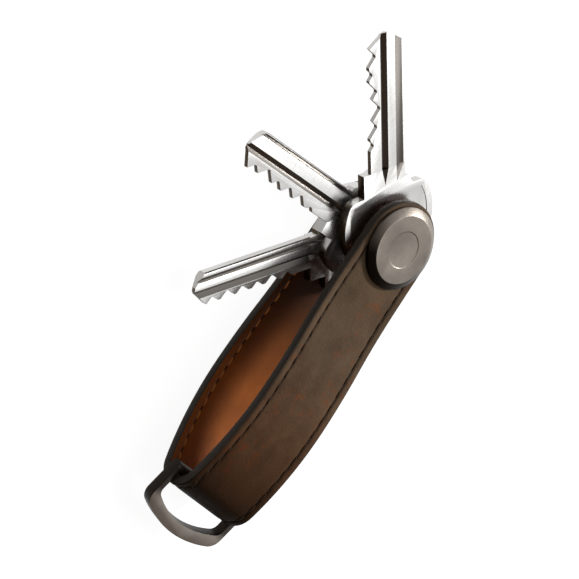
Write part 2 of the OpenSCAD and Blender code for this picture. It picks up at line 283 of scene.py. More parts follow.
def half_width(run):
    """Half of the strap's width at a place along it."""
    reach = math.hypot(LOOP_LEN, STRAP_HALF_W)
    tilt = math.acos(STRAP_END_R / reach) - math.atan(LOOP_LEN / STRAP_HALF_W)
    x = -np.interp(run, RUN, PATH[:, 0])
    on_edge = (STRAP_END_R - x * math.sin(tilt)) / math.cos(tilt)
    on_end = np.sqrt(np.maximum(STRAP_END_R ** 2 - x ** 2, 0))
    return np.where(x > STRAP_END_R * math.sin(tilt), on_end, on_edge)


def stations():
    """Places along the strap: close together round its ends, even along its length."""
    turn = np.linspace(0, math.pi / 2, STRAP_END_STEPS + 1)
    front = -STRAP_END_R * np.cos(turn)
    count = int(RUN_END / STATION_STEP)
    middle = np.linspace(0, RUN_END, count + 1)[1:-1]
    return np.concatenate([front, middle, RUN_END - front[::-1]])


def outline():
    """The strap's edge in the flat: run, half width and the inward direction at each station."""
    runs = stations()
    w = half_width(runs)
    w[0] = w[-1] = 0
    d_run = np.gradient(runs)
    d_w = np.gradient(w)
    size = np.hypot(d_run, d_w)
    in_run, in_y = d_w / size, -d_run / size
    ends = STRAP_END_R
    for i, r in enumerate(runs):
        if r < 0:
            in_run[i], in_y[i] = -r / ends, -w[i] / ends
        elif r > RUN_END:
            in_run[i], in_y[i] = (RUN_END - r) / ends, -w[i] / ends
    return runs, w, in_run, in_y


def groove(e):
    """How deep the pressed stitch line is, at distance e from the edge."""
    off = e - STITCH_INSET
    narrow = GROOVE_DEPTH * np.exp(-(off / GROOVE_WIDTH) ** 2)
    return narrow + SHOULDER_DEPTH * np.exp(-((off - SHOULDER_OFFSET) / SHOULDER_WIDTH) ** 2)


def rounded(e, r):
    """How far a rounded edge drops, at distance e from it."""
    inside = np.clip(r - e, 0, r)
    return r - np.sqrt(np.maximum(r * r - inside * inside, 0))


def strap_layer(name, shown_at, hidden_at, side, edge_r):
    """One leather of the strap: the shown face with its rolled edges and stitch lines, and the glued face.

    A grid gives the faces, and code sets the place of every point.
    """
    runs, w, in_run, in_y = outline()
    last = INSETS[-1]
    columns = [("near", e, e, False) for e in INSETS]
    for m in np.linspace(0, 1, MIDDLE_ROWS)[1:-1]:
        columns.append(("mid", m, last + 4 * m * (1 - m) * last, False))
    columns += [("far", e, e, False) for e in INSETS[::-1]]
    columns += [("far", 0.0, 0.0, True), ("far", last, last, True), ("near", last, last, True),
                ("near", 0.0, 0.0, True), ("near", 0.0, 0.0, False)]
    bpy.ops.mesh.primitive_grid_add(x_subdivisions=len(columns) - 1, y_subdivisions=len(runs) - 1)
    obj = named(name)
    place = np.zeros((len(runs), len(columns), 3))
    crease_shade = np.zeros((len(runs), len(columns)))
    rim = np.zeros_like(crease_shade)
    for c, (kind, value, e, under) in enumerate(columns):
        if kind == "mid":
            r, y = runs + in_run * last, (w + in_y * last) * (1 - 2 * value)
        else:
            sign = 1 if kind == "near" else -1
            r, y = runs + in_run * value, sign * (w + in_y * value)
        drop = 0 if under else side * (rounded(np.array(e), edge_r) + groove(np.array(e)))
        depth = (hidden_at if under else shown_at) + drop
        place[:, c] = wrap(r, y, depth * np.ones_like(r))
        # painted shade along the pressed stitch line, on the shown face only
        crease_shade[:, c] = 0 if under else np.exp(-((e - STITCH_INSET) / CREASE_WIDTH) ** 2)
        rim[:, c] = math.exp(-(e / RIM_WIDTH) ** 2)
    obj.data.vertices.foreach_set("co", place.ravel())
    add_float(obj, "crease_shade", crease_shade.ravel())
    add_float(obj, "rim", rim.ravel())
    add_float(obj, "along", np.repeat(runs / RUN_END, len(columns)))
    obj.data.update()
    return tidy_mesh(obj)


def cut_hole(obj, radius):
    """Cut the round holes that the eyelets sit in."""
    bpy.ops.mesh.primitive_cylinder_add(vertices=96, radius=radius * MM, depth=0.06,
                                        location=(0, 0, MID_Z * MM))
    tool = named("hole_tool")
    take(obj)
    cut = obj.modifiers.new("hole", "BOOLEAN")
    cut.operation = "DIFFERENCE"
    cut.solver = "EXACT"
    cut.object = tool
    bpy.ops.object.modifier_apply(modifier="hole")
    bpy.data.objects.remove(tool)
    return tidy_mesh(obj)


def ring_sweep(name, rings):
    """A grid set to the points of rings, a (rows, columns, 3) array in metres that closes both ways."""
    rings = np.concatenate([rings, rings[:1]], 0)
    rings = np.concatenate([rings, rings[:, :1]], 1)
    bpy.ops.mesh.primitive_grid_add(x_subdivisions=rings.shape[1] - 1, y_subdivisions=rings.shape[0] - 1)
    obj = named(name)
    obj.data.vertices.foreach_set("co", rings.ravel())
    obj.data.update()
    return tidy_mesh(obj)


def painted_edge():
    """The bead of edge paint that covers the edges of all the layers, right round the strap."""
    runs, w, in_run, in_y = outline()
    sides = []
    for sign, order in ((1, slice(None)), (-1, slice(-2, 0, -1))):
        ring = np.zeros((len(runs), len(PAINT_PROFILE), 3))
        for c, (e, depth) in enumerate(PAINT_PROFILE):
            ring[:, c] = wrap(runs + in_run * e, sign * (w + in_y * e), depth * np.ones_like(runs))
        sides.append(ring[order])
    return ring_sweep("edge_paint", np.concatenate(sides, 0))


def stitch_line(sign):
    """Places of the stitch holes along one edge: run and y of the inset line."""
    runs, w, in_run, in_y = outline()
    keep = (runs > -1) & (runs < RUN_END + 1)
    r = (runs + in_run * STITCH_INSET)[keep]
    y = (sign * (w + in_y * STITCH_INSET))[keep]
    length = np.concatenate([[0], np.cumsum(np.hypot(np.diff(r), np.diff(y)))])
    first, last = STITCH_START, length[-1] - STITCH_START
    count = int((last - first) / STITCH_PITCH)
    at = first + (last - first - count * STITCH_PITCH) / 2 + np.arange(count + 1) * STITCH_PITCH
    return length, r, y, at


def stitches(name, surface, outwards):
    """Thread stitches on one face of the strap. outwards is -1 on the outside and 1 on the lining."""
    base = groove(np.array(STITCH_INSET))
    tubes = []
    for sign in (1, -1):
        length, r, y, at = stitch_line(sign)
        for a in at[:-1]:
            slack = (STITCH_PITCH - STITCH_LEN) / 2
            t = np.linspace(a + slack, a + STITCH_PITCH - slack, THREAD_RINGS)
            u = np.linspace(-1, 1, THREAD_RINGS)
            height = THREAD_RISE - THREAD_DIP * u ** 4
            slant = THREAD_SLANT * u * sign * outwards
            rr, yy = np.interp(t, length, r), np.interp(t, length, y) + slant
            depth = surface + (base - height) * (1 if outwards < 0 else -1)
            centre = wrap(rr, yy, depth)
            ahead = np.gradient(centre, axis=0)
            ahead /= np.linalg.norm(ahead, axis=1)[:, None]
            up = wrap(rr, yy, depth - 0.1) - centre
            up /= np.linalg.norm(up, axis=1)[:, None]
            side = np.cross(ahead, up)
            up = np.cross(side, ahead)
            thick = THREAD_R * np.array([THREAD_END_SHARE] + [1.0] * (THREAD_RINGS - 2) + [THREAD_END_SHARE])
            turn = np.linspace(0, 2 * math.pi, THREAD_SIDES, endpoint=False)
            ring = centre[:, None] + (thick[:, None, None] * MM) * (
                np.cos(turn)[None, :, None] * side[:, None] * THREAD_FLATTENING
                + np.sin(turn)[None, :, None] * up[:, None])
            tubes.append(ring)
    return tubes_object(name, tubes)


def stitch_hole_shade_plugs(name, surface, outwards):
    """Dark oval plugs in the pressed line, where the thread goes down into its holes: painted shade for the
    holes.
    """
    base = groove(np.array(STITCH_INSET))
    turn = np.linspace(0, 2 * math.pi, HOLE_SIDES, endpoint=False)
    plugs = []
    for sign in (1, -1):
        length, r, y, at = stitch_line(sign)
        for a in at:
            rows = []
            for rise in (HOLE_LOW, HOLE_TOP):
                around = a + HOLE_HALF_L * np.cos(turn)
                rr, yy = np.interp(around, length, r), np.interp(around, length, y)
                depth = surface + (base - rise) * (1 if outwards < 0 else -1)
                rows.append(wrap(rr, yy + HOLE_HALF_W * np.sin(turn), depth))
            plugs.append(np.stack(rows))
    return tubes_object(name, plugs)


def tubes_object(name, tubes):
    """Many short closed tubes as one mesh, made from their points and not by modelling operators."""
    rows, cols = tubes[0].shape[:2]
    verts, faces = [], []
    for tube in tubes:
        start = len(verts)
        verts.extend(tube.reshape(-1, 3).tolist())
        for i in range(rows - 1):
            for j in range(cols):
                k = (j + 1) % cols
                low, high = start + i * cols, start + (i + 1) * cols
                faces.append((low + j, low + k, high + k, high + j))
        faces.append(tuple(start + j for j in range(cols))[::-1])
        faces.append(tuple(start + (rows - 1) * cols + j for j in range(cols)))
    mesh = bpy.data.meshes.new(name)
    mesh.from_pydata(verts, [], faces)
    obj = bpy.data.objects.new(name, mesh)
    bpy.context.scene.collection.objects.link(obj)
    take(obj)
    bpy.ops.object.mode_set(mode="EDIT")
    bpy.ops.mesh.select_all(action="SELECT")
    bpy.ops.mesh.normals_make_consistent(inside=False)
    bpy.ops.object.mode_set(mode="OBJECT")
    return smooth(obj, 60)


# ---------------------------------------------------------------- metal pieces

def bevelled_copy(node, name, width):
    """A merged copy of a CAD node with its edges broken."""
    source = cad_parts[node]
    take(source)
    bpy.ops.object.duplicate()
    obj = bpy.context.object
    world = obj.matrix_world.copy()
    obj.parent = None
    obj.matrix_world = world
    for key in list(obj.keys()):
        if key.startswith("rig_"):
            del obj[key]
    obj.name = name
    obj.data.name = name
    take(obj)
    bpy.ops.mesh.customdata_custom_splitnormals_clear()
    bpy.ops.object.mode_set(mode="EDIT")
    bpy.ops.mesh.select_all(action="SELECT")
    bpy.ops.mesh.remove_doubles(threshold=CAD_MERGE)
    bpy.ops.mesh.dissolve_limited(angle_limit=math.radians(FLAT_WITHIN), delimit=set())
    bpy.ops.object.mode_set(mode="OBJECT")
    edge = obj.modifiers.new("edge", "BEVEL")
    edge.width = width * MM
    edge.segments = EDGE_STEPS
    edge.limit_method = "ANGLE"
    edge.angle_limit = math.radians(EDGE_ANGLE)
    edge.miter_outer = "MITER_ARC"
    bpy.ops.object.modifier_apply(modifier="edge")
    return smooth(obj, 40)


def paint_wall_shade(obj, wall_limit, lit_share, slope_limit=0.0, slope_share=0.0):
    """Mark how much painted shade each face gets: none on flats, some on slopes, and most on wall faces that
    turn towards -X, away from the light.

    The marks stay with the piece: they are painted shade and painted reflection, and do not follow the light
    when it turns.
    """
    marks = []
    for face in obj.data.polygons:
        x, y, z = face.normal
        share = 0.0
        if abs(z) < wall_limit:
            share = min(max(0.5 - 0.9 * x / max(math.hypot(x, y), 1e-6), lit_share), 1.0)
        elif abs(z) < slope_limit:
            share = slope_share
        marks.append(share)
    wall_shade = obj.data.attributes.new("wall_shade", "FLOAT", "FACE")
    wall_shade.data.foreach_set("value", np.array(marks, np.float32))


def knob_disc(name):
    """The front knob: a disc with a wide chamfer and a shallow dish, its edges softly broken."""
    deselect()
    height = KNOB_TOP - KNOB_LOW - KNOB_CHAMFER_H
    bpy.ops.mesh.primitive_cylinder_add(vertices=KNOB_SIDES, radius=KNOB_R * MM, depth=height * MM,
                                        location=(0, 0, (KNOB_LOW + height / 2) * MM))
    obj = settle(named(name))
    bpy.ops.object.mode_set(mode="EDIT")
    bpy.ops.mesh.select_mode(type="FACE")
    bpy.ops.mesh.select_all(action="DESELECT")
    bpy.ops.object.mode_set(mode="OBJECT")
    for face in obj.data.polygons:
        face.select = face.normal.z > 0.9
    bpy.ops.object.mode_set(mode="EDIT")
    bpy.ops.mesh.extrude_region_move(TRANSFORM_OT_translate={"value": (0, 0, KNOB_CHAMFER_H * MM)})
    share = (KNOB_R - KNOB_CHAMFER_W) / KNOB_R
    bpy.ops.transform.resize(value=(share, share, 1))
    bpy.ops.mesh.inset(thickness=(KNOB_R - KNOB_CHAMFER_W - DISH_R) * MM)
    bpy.ops.mesh.extrude_region_move(TRANSFORM_OT_translate={"value": (0, 0, -DISH_D * MM)})
    share = (DISH_R - DISH_D) / DISH_R
    bpy.ops.transform.resize(value=(share, share, 1))
    bpy.ops.object.mode_set(mode="OBJECT")
    edge = obj.modifiers.new("edge", "BEVEL")
    edge.width = KNOB_EDGE * MM
    edge.segments = KNOB_EDGE_STEPS
    edge.limit_method = "ANGLE"
    edge.angle_limit = math.radians(20)
    bpy.ops.object.modifier_apply(modifier="edge")
    return smooth(tidy_mesh(obj), 25)


# ---------------------------------------------------------------- shared material groups

def new_group(name, inputs, outputs):
    """A shader node group with its sockets; inputs and outputs are (name, kind, value) lists."""
    group = bpy.data.node_groups.new(name, "ShaderNodeTree")
    for label, kind, value in inputs:
        socket = group.interface.new_socket(name=label, in_out="INPUT", socket_type=kind)
        if value is not None:
            socket.default_value = value
    for label, kind in outputs:
        group.interface.new_socket(name=label, in_out="OUTPUT", socket_type=kind)
    enter = group.nodes.new("NodeGroupInput")
    leave = group.nodes.new("NodeGroupOutput")
    enter.location, leave.location = (-900, 0), (700, 0)
    return group, enter, leave


def add(tree, kind, at, **values):
    """A node with its settings."""
    node = tree.nodes.new(kind)
    node.location = at
    for key, value in values.items():
        setattr(node, key, value)
    return node


def grain_group():
    """Fine pores and pebbles of a hide, as a height, with a soft mottling mask."""
    group, enter, leave = new_group(
        "hide_grain",
        [("Position", "NodeSocketVector", None), ("Pore Size", "NodeSocketFloat", 900.0),
         ("Mottle Size", "NodeSocketFloat", 90.0)],
        [("Height", "NodeSocketFloat"), ("Mottle", "NodeSocketFloat"), ("Flecks", "NodeSocketFloat")])
    link = group.links.new
    cells = add(group, "ShaderNodeTexVoronoi", (-650, 250), feature="DISTANCE_TO_EDGE")
    link(enter.outputs["Position"], cells.inputs["Vector"])
    link(enter.outputs["Pore Size"], cells.inputs["Scale"])
    ramp = add(group, "ShaderNodeMapRange", (-430, 250))
    ramp.inputs["From Max"].default_value = 0.25
    link(cells.outputs["Distance"], ramp.inputs["Value"])
    fine = add(group, "ShaderNodeTexNoise", (-650, 0))
    fine.inputs["Detail"].default_value = 6
    fine.inputs["Scale"].default_value = 1600
    link(enter.outputs["Position"], fine.inputs["Vector"])
    both = add(group, "ShaderNodeMath", (-200, 150), operation="MULTIPLY_ADD")
    both.inputs[1].default_value = 0.45
    link(ramp.outputs["Result"], both.inputs[0])
    link(fine.outputs["Fac"], both.inputs[2])
    link(both.outputs["Value"], leave.inputs["Height"])
    mottle = add(group, "ShaderNodeTexNoise", (-650, -250))
    mottle.inputs["Detail"].default_value = 5
    mottle.inputs["Roughness"].default_value = 0.62
    link(enter.outputs["Position"], mottle.inputs["Vector"])
    link(enter.outputs["Mottle Size"], mottle.inputs["Scale"])
    spread = add(group, "ShaderNodeMapRange", (-430, -250))
    spread.inputs["From Min"].default_value = 0.32
    spread.inputs["From Max"].default_value = 0.68
    link(mottle.outputs["Fac"], spread.inputs["Value"])
    link(spread.outputs["Result"], leave.inputs["Mottle"])
    flecks = add(group, "ShaderNodeTexNoise", (-650, -500))
    flecks.inputs["Scale"].default_value = 420
    flecks.inputs["Detail"].default_value = 4
    flecks.inputs["Roughness"].default_value = 0.7
    link(enter.outputs["Position"], flecks.inputs["Vector"])
    patch = add(group, "ShaderNodeTexNoise", (-650, -750))
    patch.inputs["Scale"].default_value = 70
    patch.inputs["Detail"].default_value = 2
    link(enter.outputs["Position"], patch.inputs["Vector"])
    near = add(group, "ShaderNodeMapRange", (-430, -750))
    near.inputs["From Min"].default_value = 0.5
    near.inputs["From Max"].default_value = 0.7
    link(patch.outputs["Fac"], near.inputs["Value"])
    sharp = add(group, "ShaderNodeMapRange", (-430, -500))
    sharp.inputs["From Min"].default_value = 0.52
    sharp.inputs["From Max"].default_value = 0.66
    link(flecks.outputs["Fac"], sharp.inputs["Value"])
    product = add(group, "ShaderNodeMath", (-200, -550), operation="MULTIPLY")
    link(near.outputs["Result"], product.inputs[0])
    link(sharp.outputs["Result"], product.inputs[1])
    link(product.outputs["Value"], leave.inputs["Flecks"])
    return group


def scuff_group():
    """Fine handling scratches and a cloudy bloom for metal."""
    group, enter, leave = new_group(
        "metal_scuffs",
        [("Position", "NodeSocketVector", None), ("Fineness", "NodeSocketFloat", 1.0)],
        [("Scratches", "NodeSocketFloat"), ("Cloud", "NodeSocketFloat"), ("Blast", "NodeSocketFloat")])
    link = group.links.new
    stretch = add(group, "ShaderNodeMapping", (-700, 200))
    stretch.inputs["Scale"].default_value = (260, 3200, 1500)
    stretch.inputs["Rotation"].default_value = (0.2, 0.1, 0.9)
    link(enter.outputs["Position"], stretch.inputs["Vector"])
    lines = add(group, "ShaderNodeTexNoise", (-480, 200))
    lines.inputs["Detail"].default_value = 4
    lines.inputs["Scale"].default_value = 1
    link(stretch.outputs["Vector"], lines.inputs["Vector"])
    link(lines.outputs["Fac"], leave.inputs["Scratches"])
    cloud = add(group, "ShaderNodeTexNoise", (-480, -50))
    cloud.inputs["Scale"].default_value = 130
    cloud.inputs["Detail"].default_value = 5
    link(enter.outputs["Position"], cloud.inputs["Vector"])
    link(cloud.outputs["Fac"], leave.inputs["Cloud"])
    blast = add(group, "ShaderNodeTexNoise", (-480, -300))
    blast.inputs["Scale"].default_value = 4200
    blast.inputs["Detail"].default_value = 3
    link(enter.outputs["Position"], blast.inputs["Vector"])
    link(blast.outputs["Fac"], leave.inputs["Blast"])
    return group


def new_material(name):
    """A material with its node tree, its shader and the object's own coordinates."""
    material = bpy.data.materials.new(name)
    material.use_nodes = True
    tree = material.node_tree
    shader = tree.nodes["Principled BSDF"]
    where = add(tree, "ShaderNodeTexCoord", (-1500, 0))
    return material, tree, shader, where.outputs["Object"]


def mix_colour(tree, at, factor, a, b, blend="MIX"):
    """A colour mix: factor, a and b are sockets or values."""
    node = add(tree, "ShaderNodeMix", at, data_type="RGBA", blend_type=blend)
    for socket, value in ((node.inputs[0], factor), (node.inputs[6], a), (node.inputs[7], b)):
        if isinstance(value, bpy.types.NodeSocket):
            tree.links.new(value, socket)
        elif isinstance(value, tuple):
            socket.default_value = (*value, 1)
        else:
            socket.default_value = value
    return node.outputs[2]


def ranged(tree, at, value, low, high, to_low, to_high):
    """Bring a value from one range to another."""
    node = add(tree, "ShaderNodeMapRange", at)
    for key, number in (("From Min", low), ("From Max", high), ("To Min", to_low), ("To Max", to_high)):
        node.inputs[key].default_value = number
    tree.links.new(value, node.inputs["Value"])
    return node.outputs["Result"]


def bump(tree, at, height, strength, distance, normal=None):
    """A normal that follows a height, on top of another normal where one is given."""
    node = add(tree, "ShaderNodeBump", at)
    node.inputs["Strength"].default_value = strength
    node.inputs["Distance"].default_value = distance
    tree.links.new(height, node.inputs["Height"])
    if normal is not None:
        tree.links.new(normal, node.inputs["Normal"])
    return node.outputs["Normal"]


def attribute(tree, at, name):
    """One of the mesh's own values."""
    node = add(tree, "ShaderNodeAttribute", at)
    node.attribute_name = name
    return node.outputs["Fac"]


GRAIN = grain_group()
SCUFFS = scuff_group()


def put_group(tree, group, at, position):
    """Place a shared group in a material."""
    node = add(tree, "ShaderNodeGroup", at)
    node.node_tree = group
    tree.links.new(position, node.inputs["Position"])
    return node


def from_loop_end(tree):
    """Distance along the strap from the loop's end, as a share of the strap's length."""
    middle = add(tree, "ShaderNodeMath", (-1050, -500), operation="SUBTRACT")
    tree.links.new(attribute(tree, (-1250, -500), "along"), middle.inputs[0])
    middle.inputs[1].default_value = 0.5
    away = add(tree, "ShaderNodeMath", (-900, -500), operation="ABSOLUTE")
    tree.links.new(middle.outputs[0], away.inputs[0])
    return away.outputs[0]


def outer_leather_material():
    """Waxed brown leather: mottled, with rusty flecks, painted shade in the stitch line, warmer towards the
    loop's end, and painted shade where the loop bends.
    """
    material, tree, shader, position = new_material("outer_leather")
    grain = put_group(tree, GRAIN, (-1250, 0), position)
    colour = mix_colour(tree, (-950, 200), grain.outputs["Mottle"], BROWN_DARK, BROWN_LIGHT)
    colour = mix_colour(tree, (-750, 200), grain.outputs["Flecks"], colour, BROWN_FLECK)
    # painted shade in the pressed stitch line
    crease_shade = ranged(tree, (-950, -250), attribute(tree, (-1250, -300), "crease_shade"), 0.1, 1, 0, 0.62)
    colour = mix_colour(tree, (-550, 200), crease_shade, colour, BROWN_CREASE_SHADE)
    far = from_loop_end(tree)
    warm = ranged(tree, (-750, -400), far, 0.06, 0.3, 1, 0)
    colour = mix_colour(tree, (-450, 300), warm, colour, BROWN_WARMTH, "MULTIPLY")
    # painted shade at the loop's bend, darkest at its end
    bend_shade = ranged(tree, (-750, -600), far, 0.03, 0.18, 0.92, 0)
    colour = mix_colour(tree, (-350, 200), bend_shade, colour, BROWN_BEND_SHADE)
    tree.links.new(colour, shader.inputs["Base Color"])
    rough = ranged(tree, (-550, -50), grain.outputs["Mottle"], 0, 1, 0.5, 0.68)
    tree.links.new(rough, shader.inputs["Roughness"])
    shader.inputs["Specular IOR Level"].default_value = 0.06
    tree.links.new(bump(tree, (-350, -250), grain.outputs["Height"], 0.5, 0.00008), shader.inputs["Normal"])
    return material


def lining_material():
    """Smooth tan leather, with painted shade in the stitch line and painted shade away from the loop's end,
    towards the keys.
    """
    material, tree, shader, position = new_material("lining_leather")
    grain = put_group(tree, GRAIN, (-1250, 0), position)
    grain.inputs["Pore Size"].default_value = 1300
    colour = mix_colour(tree, (-950, 200), grain.outputs["Mottle"], TAN_DARK, TAN_LIGHT)
    # painted shade in the pressed stitch line
    crease_shade = ranged(tree, (-950, -250), attribute(tree, (-1250, -300), "crease_shade"), 0.1, 1, 0, 0.6)
    colour = mix_colour(tree, (-550, 200), crease_shade, colour, TAN_CREASE_SHADE)
    # painted shade away from the loop's end, towards the keys
    shade_near_keys = ranged(tree, (-750, -500), from_loop_end(tree), 0.2, 0.36, 0, 0.85)
    colour = mix_colour(tree, (-350, 200), shade_near_keys, colour, TAN_SHADE_NEAR_KEYS)
    tree.links.new(colour, shader.inputs["Base Color"])
    rough = ranged(tree, (-550, -50), grain.outputs["Mottle"], 0, 1, 0.52, 0.62)
    tree.links.new(rough, shader.inputs["Roughness"])
    shader.inputs["Specular IOR Level"].default_value = 0.12
    tree.links.new(bump(tree, (-350, -250), grain.outputs["Height"], 0.3, 0.00005), shader.inputs["Normal"])
    return material


def plain_material(name, dark, light, rough_low, rough_high, bump_strength, size):
    """A matt material with a little cloudiness, for edge paint, the core and the nylon washers."""
    material, tree, shader, position = new_material(name)
    grain = put_group(tree, GRAIN, (-1250, 0), position)
    grain.inputs["Mottle Size"].default_value = size
    colour = mix_colour(tree, (-950, 200), grain.outputs["Mottle"], dark, light)
    tree.links.new(colour, shader.inputs["Base Color"])
    rough = ranged(tree, (-550, -50), grain.outputs["Mottle"], 0, 1, rough_low, rough_high)
    tree.links.new(rough, shader.inputs["Roughness"])
    shader.inputs["Specular IOR Level"].default_value = 0.2
    normal = bump(tree, (-350, -250), grain.outputs["Height"], bump_strength, 0.00003)
    tree.links.new(normal, shader.inputs["Normal"])
    return material


def thread_material(name, dark, light):
    """Waxed thread: fine slanting plies."""
    material, tree, shader, position = new_material(name)
    plies = add(tree, "ShaderNodeTexWave", (-1250, 0), wave_type="BANDS", bands_direction="DIAGONAL")
    plies.inputs["Scale"].default_value = 1500
    plies.inputs["Distortion"].default_value = 1.5
    tree.links.new(position, plies.inputs["Vector"])
    colour = mix_colour(tree, (-950, 200), plies.outputs["Fac"], dark, light)
    tree.links.new(colour, shader.inputs["Base Color"])
    shader.inputs["Roughness"].default_value = 0.7
    shader.inputs["Specular IOR Level"].default_value = 0.12
    tree.links.new(bump(tree, (-350, -250), plies.outputs["Fac"], 0.4, 0.00005), shader.inputs["Normal"])
    return material


def metal_material(name, dark, light, rough, blast, scratch, metallic=1.0):
    """Metal: a cloudy base, fine scratches and a blasted skin, each as strong as its values say."""
    material, tree, shader, position = new_material(name)
    scuffs = put_group(tree, SCUFFS, (-1250, 0), position)
    cloud = ranged(tree, (-1050, 200), scuffs.outputs["Cloud"], 0.35, 0.65, 0, 1)
    colour = mix_colour(tree, (-850, 200), cloud, dark, light)
    tree.links.new(colour, shader.inputs["Base Color"])
    shader.inputs["Metallic"].default_value = metallic
    rough = ranged(tree, (-850, -50), scuffs.outputs["Scratches"], 0.3, 0.7, *rough)
    tree.links.new(rough, shader.inputs["Roughness"])
    normal = bump(tree, (-600, -250), scuffs.outputs["Blast"], blast, 0.00003)
    normal = bump(tree, (-350, -250), scuffs.outputs["Scratches"], scratch, 0.00001, normal)
    tree.links.new(normal, shader.inputs["Normal"])
    return material


def metal_with_painted_shade(name, face, wall_shade_colour, wall_rough, legs_shaded_from=None):
    """Metal with painted shade and painted reflection on the faces that a face attribute marks: their colour
    and roughness blend towards the given wall values.

    Its last argument is the place along X, in millimetres, past which the ring's legs get painted shade all
    over.
    """
    material = metal_material(name, *face)
    tree = material.node_tree
    shader = tree.nodes["Principled BSDF"]
    wall_shade = attribute(tree, (-850, 450), "wall_shade")
    if legs_shaded_from is not None:
        place = add(tree, "ShaderNodeSeparateXYZ", (-1250, 600))
        tree.links.new(tree.nodes["Texture Coordinate"].outputs["Object"], place.inputs[0])
        low, high = (legs_shaded_from - 1) * MM, (legs_shaded_from + 1) * MM
        either = add(tree, "ShaderNodeMath", (-700, 500), operation="MAXIMUM")
        tree.links.new(wall_shade, either.inputs[0])
        tree.links.new(ranged(tree, (-1050, 600), place.outputs["X"], low, high, 0, 0.8), either.inputs[1])
        wall_shade = either.outputs[0]
    finished = shader.inputs["Base Color"].links[0].from_socket
    # painted shade and painted reflection on the marked faces
    both = mix_colour(tree, (-550, 300), wall_shade, finished, wall_shade_colour)
    tree.links.new(both, shader.inputs["Base Color"])
    rough = add(tree, "ShaderNodeMix", (-550, 0))
    tree.links.new(wall_shade, rough.inputs[0])
    tree.links.new(shader.inputs["Roughness"].links[0].from_socket, rough.inputs[2])
    rough.inputs[3].default_value = wall_rough
    tree.links.new(rough.outputs[0], shader.inputs["Roughness"])
    return material


# ---------------------------------------------------------------- build

LEATHER = outer_leather_material()
LINING = lining_material()
PAINT = plain_material("edge_paint", (0.034, 0.025, 0.018), (0.050, 0.037, 0.027), 0.5, 0.65, 0.15, 200)
CORE = plain_material("core_strip", (0.02, 0.018, 0.016), (0.035, 0.03, 0.026), 0.6, 0.75, 0.2, 200)
NYLON = plain_material("nylon", (0.018, 0.017, 0.016), (0.03, 0.028, 0.027), 0.4, 0.5, 0.15, 300)
# dark plugs that stand for the shade inside the stitch holes: painted shade
HOLE_SHADE = plain_material("stitch_hole_shade", (0.006, 0.004, 0.003), (0.012, 0.008, 0.005), 0.8, 0.9, 0.1, 300)
BROWN_THREAD = thread_material("thread_brown", (0.022, 0.012, 0.006), (0.055, 0.030, 0.015))
ORANGE_THREAD = thread_material("thread_orange", (0.55, 0.19, 0.045), (0.80, 0.30, 0.08))
# Gunmetal for the knobs and screw; its wall faces get painted shade, darkest towards -X
GUNMETAL = metal_with_painted_shade("gunmetal",
                          ((0.170, 0.147, 0.124), (0.262, 0.230, 0.198), (0.30, 0.40), 0.6, 0.1, 0.92),
                          WALL_SHADE_COLOUR, 0.4)
# A lighter copy of the gunmetal for the ring: painted light on its bow face, painted shade on its legs and
# wall faces
LIT_RING_METAL = metal_with_painted_shade("gunmetal_ring_lit",
                            ((0.25, 0.220, 0.190), (0.37, 0.330, 0.290), (0.32, 0.42), 0.6, 0.1, 0.92),
                            WALL_SHADE_COLOUR, 0.45, RING_LEGS_SHADED_FROM)
STEEL = metal_material("steel", (0.50, 0.49, 0.48), (0.60, 0.59, 0.57), (0.22, 0.36), 0.1, 0.3)
# Nickel for the keys: dark brown painted reflection and painted shade on their wall faces and slopes
NICKEL = metal_with_painted_shade("nickel", ((0.73, 0.72, 0.70), (0.79, 0.785, 0.77), (0.26, 0.31), 0.03, 0.15),
                        (0.050, 0.034, 0.021), 0.32)

# How flat a face must lie not to be a wall, how much painted shade a wall on the bright side still gets, and
# the same two for slopes, which get painted shade too
KEY_PAINTED_SHADE = (0.5, 0.2, 0.97, 0.82)
KNOB_PAINTED_SHADE = (0.95, 0.1)
RING_PAINTED_SHADE = (0.6, 1.0)

# Node, body, width of the broken edges, material, finish, and how much painted shade its wall faces get
FINISHED = (
    ("rear_knob", "rear_cap", 0.12, GUNMETAL, "gunmetal", KNOB_PAINTED_SHADE),
    ("lock_screw", "screw", 0.08, GUNMETAL, "gunmetal", KNOB_PAINTED_SHADE),
    ("d_ring", "ring", 0.3, LIT_RING_METAL, "gunmetal", RING_PAINTED_SHADE),
    ("friction_washer", "strap", 0.1, NYLON, "nylon", None),
    ("key_spacers", "strap", 0.1, NYLON, "nylon", None),
    ("key_front", "front_key", 0.12, NICKEL, "nickel", KEY_PAINTED_SHADE),
    ("key_middle", "middle_key", 0.12, NICKEL, "nickel", KEY_PAINTED_SHADE),
    ("key_rear", "rear_key", 0.12, NICKEL, "nickel", KEY_PAINTED_SHADE),
)
PLAIN = (("core_strip", CORE), ("front_eyelet", STEEL), ("rear_eyelet", STEEL), ("post_barrel", STEEL),
         ("lock_washer", STEEL), ("spring_washer", STEEL))


